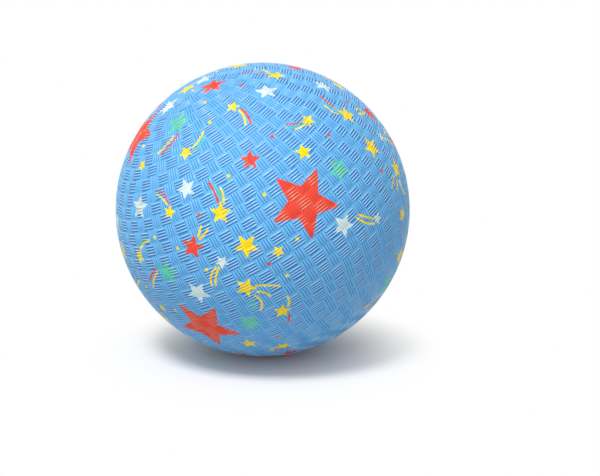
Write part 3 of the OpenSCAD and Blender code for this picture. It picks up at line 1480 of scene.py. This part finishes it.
    def _inner_wall(self, skin: Skin, scarf_edge: list[int], hole_edge: list[int] | None) -> None:
        """Lines the half, from the scarf to the pole or to the hole for the valve.

        Args:
            skin: the mesh under construction.
            scarf_edge: inner edge of the scarf.
            hole_edge: inner edge of the hole, where there is one.
        """
        side = self.half.value
        outer_faces = len(skin.quads), len(skin.triangles)
        start = math.degrees(skin.latitude[scarf_edge[0]])
        stop = self.wall_end_deg
        if hole_edge is not None:
            stop = math.degrees(abs(skin.latitude[hole_edge[0]])) - self.hole_margin_deg
        steps = round((stop - side * start) / self.wall_step_deg)
        before = scarf_edge
        for step in range(1, steps + 1):
            latitude = math.radians(start + side * (stop - side * start) * step / steps)
            count = self.wall_count if step < steps else self.hole_count
            ring = skin.ring(latitude, self.inner_radius, count)
            if side > 0:
                skin.stitch_rings(before, ring)
            else:
                skin.stitch_rings(ring, before)
            before = ring
        if hole_edge is None:
            skin.close(before, math.pi / 2, self.inner_radius)
        else:
            skin.stitch_rings(hole_edge, before)
        skin.quads[outer_faces[0]:] = [face[::-1] for face in skin.quads[outer_faces[0]:]]
        skin.triangles[outer_faces[1]:] = [face[::-1] for face in skin.triangles[outer_faces[1]:]]


@dataclass(frozen=True)
class Finish:
    """What all finishes share: a name, and the grain of moulded rubber."""

    name: str
    grain_size: float = 0.35 * MM
    grain_depth: float = 0.02 * MM

    def begin(self) -> tuple[bpy.types.Material, Bench, dict, Wire]:
        """Starts the material.

        Returns:
            The material, its bench, its shader's inputs and the wire of places on the object.
        """
        material = bpy.data.materials.new(self.name)
        material.use_nodes = True
        bench = Bench(material.node_tree)
        surface = material.node_tree.nodes["Principled BSDF"].inputs
        return material, bench, surface, bench.wire("ShaderNodeTexCoord", None, None, "Object")

    def emboss(self, bench: Bench, surface: dict, height: Wire) -> None:
        """Raises the surface by a height in metres, seen only in its shading."""
        bump = bench.wire("ShaderNodeBump", None, {"Distance": 1.0, "Height": height}, "Normal")
        bench.feed(surface["Normal"], bump)

    def grain(self, bench: Bench, place: Wire) -> Wire:
        """Height of the fine grain that the mould leaves."""
        return bench.noise(place, self.grain_size) * self.grain_depth

    def across(self, bench: Bench, place: Wire, mould: Mould) -> list[Wire]:
        """Distances of a place from the mould's axis, to its front and to its east."""
        ways = tuple(mould.front), tuple(mould.east)
        return [bench.vector("DOT_PRODUCT", place, way, out="Value") for way in ways]


@dataclass(frozen=True)
class CoverRubber(Finish):
    """Satin light blue rubber, with the printed figures in four inks."""

    name: str = "cover_rubber"
    weave: Weave = field(default_factory=Weave)
    blue: Colour = (0.12, 0.445, 0.80)
    # Painted shade: the darker, deeper blue at the feet of the bars
    groove_blue: Colour = (0.004, 0.17, 0.50)
    # Painted highlight: the paler blue towards the tops of the bars
    crest_blue: Colour = (0.29, 0.61, 0.91)
    bloom_blue: Colour = (0.16, 0.44, 0.78)
    groove_share: float = 0.95
    # Painted highlight: the pale blue along the tops of the bars
    rubbed_blue: Colour = (0.62, 0.84, 1.0)
    height_share: float = 0.4
    crest_share: float = 0.4
    bloom_share: float = 0.22
    roughness: float = 0.5
    crest_roughness: float = 0.22
    ink_gloss: float = 0.05
    specular: float = 0.36
    # Painted shade on the inks at the feet of the bars, and painted highlight on them along the tops
    ink_groove_share: float = 0.16
    rubbed_ink: Colour = (1.0, 0.88, 0.55)
    ink_crest_share: float = 0.2
    # Reach of a star's tips before they are blunted, as a share of its own reach
    sharp: float = 1.08
    bloom_size: float = 45 * MM
    speckle_size: float = 0.9 * MM
    wobble_size: float = 1.4 * MM
    wear_size: float = 0.6 * MM
    wear_share: float = 0.25
    ragged: float = 0.08 * MM
    blur: float = 0.07 * MM
    ink_thickness: float = 0.015 * MM

    def material(self) -> bpy.types.Material:
        """Makes the material.

        Returns:
            The finished material.
        """
        material, bench, surface, place = self.begin()
        radius = bench.vector("LENGTH", place, out="Value")
        above = radius - self.weave.base_radius
        height = bench.maths("DIVIDE", above, self.weave.bar_height, clamp=True)
        # Painted shade at the feet of the bars, strongest in the lying blocks
        groove = bench.step(bench.attribute("groove"), 0.1, 0.8)
        crest = bench.step(bench.attribute("crest"), 0.3, 1)
        colour = bench.blend(groove * self.groove_share, self.blue, self.groove_blue)
        # Painted highlight: the bars grow paler towards their tops
        colour = bench.blend(height * self.height_share, colour, self.crest_blue)
        # Painted highlight: pale lines along the tops of the bars, strongest on the lying ones
        colour = bench.blend(crest * self.crest_share, colour, self.rubbed_blue)
        bloom = bench.step(bench.noise(place, self.bloom_size, 3), 0.42, 0.72)
        speckle = bench.noise(place, self.speckle_size, 3)
        bloomed = (bloom * 0.7 + speckle * 0.6) * self.bloom_share
        colour = bench.blend(bloomed, colour, self.bloom_blue)
        wobble = (bench.noise(place, self.wobble_size) - 0.5) * self.ragged
        rubbing = bench.noise(place, self.wear_size, 3) + height * 0.06
        worn = 1 - bench.step(rubbing, 0.68, 0.80) * self.wear_share
        inked = None
        marks = [self._stroke(bench, layer) for layer in range(StarPrint.LAYERS)] + [self._figure(bench)]
        for edge, ink in marks:
            cover = bench.step(edge + wobble, self.blur, -self.blur)
            tint = bench.pick(ink, [ink.value for ink in Ink])
            # Painted shade darkens the inks at the feet of the bars, and a painted highlight pales them
            # on the tops
            tint = bench.blend(groove * self.ink_groove_share, tint, (0, 0, 0))
            tint = bench.blend(crest * self.ink_crest_share, tint, self.rubbed_ink)
            colour = bench.blend(cover * worn, colour, tint)
            inked = cover if inked is None else bench.maths("MAXIMUM", inked, cover)
        bench.feed(surface["Base Color"], colour)
        bench.feed(surface["Specular IOR Level"], self.specular)
        polish = height * (self.roughness - self.crest_roughness) + inked * self.ink_gloss
        bench.feed(surface["Roughness"], (speckle - 0.5) * 0.1 + bloom * 0.04 + self.roughness - polish)
        self.emboss(bench, surface, self.grain(bench, place) + inked * self.ink_thickness)
        return material

    def _figure(self, bench: Bench) -> tuple[Wire, Wire]:
        """Measures how far a spot is outside its star or dot.

        Args:
            bench: the material's bench.

        Returns:
            The distance, which is negative inside the figure, and the ink's number.
        """
        x, y, _ = bench.stored(StarPrint.PLACE)
        reach, ink, rounded = bench.stored(StarPrint.KIND)
        away = bench.hypot(x, y)
        fifth = WHOLE_TURN / 5
        fold = abs((bench.maths("ARCTAN2", x, y) + fifth / 2) % fifth - fifth / 2)
        side, ahead = bench.maths("SINE", fold) * away, bench.maths("COSINE", fold) * away
        rise, run = self.sharp - STAR_NOTCH * math.cos(fifth / 2), STAR_NOTCH * math.sin(fifth / 2)
        flank = math.hypot(rise, run)
        blunt = reach * ((self.sharp - 1) * run / rise)
        soft_side = bench.hypot(side, blunt)
        star = soft_side * (rise / flank) + (ahead - reach * self.sharp) * (run / flank)
        return star + rounded * (away - reach - star), ink

    def _stroke(self, bench: Bench, layer: int) -> tuple[Wire, Wire]:
        """Measures how far a spot is outside one of its nearest strokes.

        Args:
            bench: the material's bench.
            layer: 0 for the nearest stroke, and so on.

        Returns:
            The distance, which is negative inside the stroke, and the ink's number.
        """
        x, y, half_width = bench.stored(StarPrint.STROKE_PLACE.format(layer))
        bend, half_angle, ink = bench.stored(StarPrint.STROKE_BEND.format(layer))
        beyond = bench.maths("MAXIMUM", abs(bench.maths("ARCTAN2", x, y)) - half_angle, 0) * bend
        return bench.hypot(bench.hypot(x, y) - bend, beyond) - half_width, ink


@dataclass(frozen=True)
class BladderRubber(Finish):
    """Dull black rubber, dusted with talc."""

    name: str = "bladder_rubber"
    black: Colour = (0.014, 0.014, 0.016)
    talc: Colour = (0.30, 0.30, 0.29)

    def material(self) -> bpy.types.Material:
        """Makes the material.

        Returns:
            The finished material.
        """
        material, bench, surface, place = self.begin()
        cloud = bench.step(bench.noise(place, 28 * MM, 4), 0.45, 0.75)
        powder = bench.step(bench.noise(place, 0.7 * MM, 3), 0.4, 0.7)
        dust = cloud * 0.30 + powder * (0.08 + cloud * 0.25)
        bench.feed(surface["Base Color"], bench.blend(dust, self.black, self.talc))
        bench.feed(surface["Roughness"], 0.55 + dust * 0.5)
        self.emboss(bench, surface, self.grain(bench, place) + bench.noise(place, 6 * MM) * (0.1 * MM))
        return material


@dataclass(frozen=True)
class PatchRubber(Finish):
    """Dark rubber that carries the print of the cloth it was cured against."""

    mould: Mould | None = None
    name: str = "patch_rubber"
    dark: Colour = (0.050, 0.043, 0.036)
    worn: Colour = (0.150, 0.130, 0.105)
    thread: float = 0.9 * MM

    def material(self) -> bpy.types.Material:
        """Makes the material.

        Returns:
            The finished material.
        """
        material, bench, surface, place = self.begin()
        front, east = (
            abs(bench.maths("SINE", away * (math.pi / self.thread)))
            for away in self.across(bench, place, self.mould)
        )
        cloth = front * east
        scuff = bench.noise(place, 8 * MM, 4)
        shade = cloth * 0.35 + bench.step(scuff, 0.45, 0.75) * 0.45
        bench.feed(surface["Base Color"], bench.blend(shade, self.dark, self.worn))
        bench.feed(surface["Roughness"], 0.62 + scuff * 0.2)
        self.emboss(bench, surface, cloth * (0.12 * MM) + self.grain(bench, place))
        return material


@dataclass(frozen=True)
class ValveRubber(Finish):
    """Satin blue rubber of the valve's housing, with the fine rings of its turned mould."""

    mould: Mould | None = None
    name: str = "valve_rubber"
    blue: Colour = (0.105, 0.33, 0.64)
    pale: Colour = (0.20, 0.44, 0.72)
    ring: float = 0.5 * MM

    def material(self) -> bpy.types.Material:
        """Makes the material.

        Returns:
            The finished material.
        """
        material, bench, surface, place = self.begin()
        away = bench.hypot(*self.across(bench, place, self.mould))
        rings = bench.maths("SINE", away * (WHOLE_TURN / self.ring))
        cloud = bench.noise(place, 5 * MM, 4)
        tint = cloud * 0.5 + rings * 0.06
        bench.feed(surface["Base Color"], bench.blend(tint, self.blue, self.pale))
        bench.feed(surface["Roughness"], 0.34 + cloud * 0.18)
        self.emboss(bench, surface, rings * (0.01 * MM) + self.grain(bench, place))
        return material


@dataclass(frozen=True)
class PlugRubber(Finish):
    """Soft white rubber of the valve's plug, waxy and a little yellowed."""

    name: str = "plug_rubber"
    white: Colour = (0.78, 0.77, 0.72)
    yellowed: Colour = (0.62, 0.55, 0.38)

    def material(self) -> bpy.types.Material:
        """Makes the material.

        Returns:
            The finished material.
        """
        material, bench, surface, place = self.begin()
        cloud = bench.noise(place, 3 * MM, 4)
        fleck = bench.step(bench.noise(place, 0.5 * MM, 2), 0.62, 0.74)
        tint = bench.step(cloud, 0.4, 0.8) * 0.35 + fleck * 0.2
        bench.feed(surface["Base Color"], bench.blend(tint, self.white, self.yellowed))
        bench.feed(surface["Roughness"], 0.42 + cloud * 0.2)
        bench.feed(surface["Subsurface Weight"], 0.25)
        bench.feed(surface["Subsurface Scale"], 1.5 * MM)
        self.emboss(bench, surface, self.grain(bench, place))
        return material


@dataclass(frozen=True)
class Picture:
    """The photograph's frame, and where the ball stands in it."""

    width_px: float = 600
    height_px: float = 476
    ball_x_px: float = 263.2
    ball_y_px: float = 210.0
    focal_px: float = 1210.7
    elevation_deg: float = 11.0
    distance: float = 8.3 * BALL_RADIUS
    sensor: float = 36.0
    clip: tuple[float, float] = (0.01, 50.0)

    @property
    def towards(self) -> Vector:
        """Direction from the ball to the camera."""
        elevation = math.radians(self.elevation_deg)
        return Vector((0, -math.cos(elevation), math.sin(elevation)))

    def camera(self) -> None:
        """Makes the camera, aimed so that the ball falls on its place in the frame."""
        data = bpy.data.cameras.new("camera")
        data.sensor_fit = "HORIZONTAL"
        data.sensor_width = self.sensor
        data.lens = self.sensor * self.focal_px / self.width_px
        data.clip_start, data.clip_end = self.clip
        across = self.width_px / 2 - self.ball_x_px
        above = self.height_px / 2 - self.ball_y_px
        ray = math.sqrt(across**2 + above**2 + self.focal_px**2)
        away = -self.towards
        yaw = math.asin(across / ray / away.y)
        dip = math.atan2(-away.z, away.y * math.cos(yaw)) + math.atan2(above, self.focal_px)
        camera = bpy.data.objects.new("camera", data)
        camera.location = self.towards * self.distance
        camera.rotation_euler = Euler((math.pi / 2 - dip, 0, -yaw))
        bpy.context.scene.collection.objects.link(camera)
        bpy.context.scene.camera = camera


@dataclass
class Studio:
    """Plain pale floor and backdrop, and plain soft studio light."""

    floor_height: float = -BALL_RADIUS
    floor_reach: float = 8.0
    floor_white: float = 0.93
    floor_bounce: float = 0.6
    # How far from the centre of the ball the floor starts to turn white, and is white
    fade_start: float = 108 * MM
    fade_end: float = 177 * MM
    key_place: tuple[float, float, float] = (-0.6, -1.2, 2.3)
    key_size: float = 0.7
    key_power: float = 57.0
    fill_place: tuple[float, float, float] = (1.7, -2.2, 0.6)
    fill_size: float = 1.2
    left_power: float = 13.0
    right_power: float = 12.0
    world_strength: float = 0.3

    def build(self) -> None:
        """Makes the floor, the lamps and the world."""
        self._floor()
        self._lamp("key_light", self.key_place, self.key_size, self.key_power)
        x, y, z = self.fill_place
        self._lamp("fill_light_right", (x, y, z), self.fill_size, self.right_power)
        self._lamp("fill_light_left", (-x, y, z), self.fill_size, self.left_power)
        self._world()
        bpy.context.scene.view_settings.view_transform = "Standard"

    def _floor(self) -> None:
        """Lays the floor, which looks white and keeps the ball's shadow."""
        reach = self.floor_reach
        mesh = bpy.data.meshes.new("floor")
        corners = [(-reach, -reach), (reach, -reach), (reach, reach), (-reach, reach)]
        mesh.from_pydata([(x, y, self.floor_height) for x, y in corners], [], [(0, 1, 2, 3)])
        floor = bpy.data.objects.new("floor", mesh)
        bpy.context.scene.collection.objects.link(floor)
        material = bpy.data.materials.new("pale_floor")
        material.use_nodes = True
        bench = Bench(material.node_tree)
        material.node_tree.nodes.clear()
        place = bench.wire("ShaderNodeTexCoord", None, None, "Object")
        away = bench.vector("LENGTH", place, out="Value")
        seen = self._seen(bench)
        grey, white = (self.floor_bounce,) * 3, (self.floor_white,) * 3
        matt = bench.wire("ShaderNodeBsdfDiffuse", None, {"Color": bench.blend(seen, grey, white)})
        glow = bench.step(away, self.fade_start, self.fade_end) * seen
        shine = bench.wire("ShaderNodeEmission")
        both = bench.wire("ShaderNodeMixShader", None, {0: glow, 1: matt, 2: shine})
        bench.node("ShaderNodeOutputMaterial", None, {"Surface": both})
        mesh.materials.append(material)

    def _seen(self, bench: Bench) -> Wire:
        """Marks what the camera sees, straight, in a reflection or through glass.

        Args:
            bench: the bench of the material or the world.

        Returns:
            A wire that is 1 there, and 0 for light that is only bounced.
        """
        path = bench.node("ShaderNodeLightPath")
        camera, glossy, through = (
            Wire(bench, path.outputs[f"Is {kind} Ray"]) for kind in ("Camera", "Glossy", "Transmission")
        )
        return bench.maths("MAXIMUM", bench.maths("MAXIMUM", camera, glossy), through)

    def _lamp(self, name: str, place: tuple[float, float, float], size: float, power: float) -> None:
        """Hangs one square soft lamp that faces the ball.

        Args:
            name: the lamp's name.
            place: where it hangs.
            size: length of its sides.
            power: its power in watts.
        """
        data = bpy.data.lights.new(name, "AREA")
        data.shape = "SQUARE"
        data.size = size
        data.energy = power
        lamp = bpy.data.objects.new(name, data)
        lamp.location = place
        lamp.rotation_euler = (-Vector(place)).to_track_quat("-Z", "Y").to_euler()
        bpy.context.scene.collection.objects.link(lamp)

    def _world(self) -> None:
        """Surrounds the stage with even light, and with white where the camera sees it."""
        world = bpy.data.worlds.new("studio")
        world.use_nodes = True
        world.node_tree.nodes.clear()
        bench = Bench(world.node_tree)
        seen = self._seen(bench)
        light = bench.wire("ShaderNodeBackground", None, {
            "Strength": self.world_strength + seen * (1 - self.world_strength),
            "Color": (1, 1, 1, 1),
        })
        bench.node("ShaderNodeOutputWorld", None, {"Surface": light})
        bpy.context.scene.world = world


def main() -> None:
    """Builds the classes in order and reports each piece."""
    logging.basicConfig(level=logging.INFO, format="%(message)s")
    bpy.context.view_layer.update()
    picture = Picture()
    picture.camera()
    mould = Mould.from_record(frame["record"], picture.towards)
    weave = Weave()
    star_print = StarPrint(mould, picture.towards)
    rubber = CoverRubber(weave=weave).material()
    for half in Half:
        piece = Cover(half, mould, weave, star_print).build(rubber)
        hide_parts(half.node)
        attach(piece, "root")
        piece.data.calc_loop_triangles()
        log.info("%s: %d triangles", piece.name, len(piece.data.loop_triangles))
    inside = {
        "bladder": BladderRubber(), "valve_patch": PatchRubber(mould=mould),
        "valve_housing": ValveRubber(mould=mould), "valve_plug": PlugRubber(),
    }
    for node, finish in inside.items():
        mesh = frame["nodes"][node].data
        mesh.materials.clear()
        mesh.materials.append(finish.material())
        log.info("%s: dressed in %s", node, finish.name)
    Studio().build()


if __name__ == "__main__":
    main()
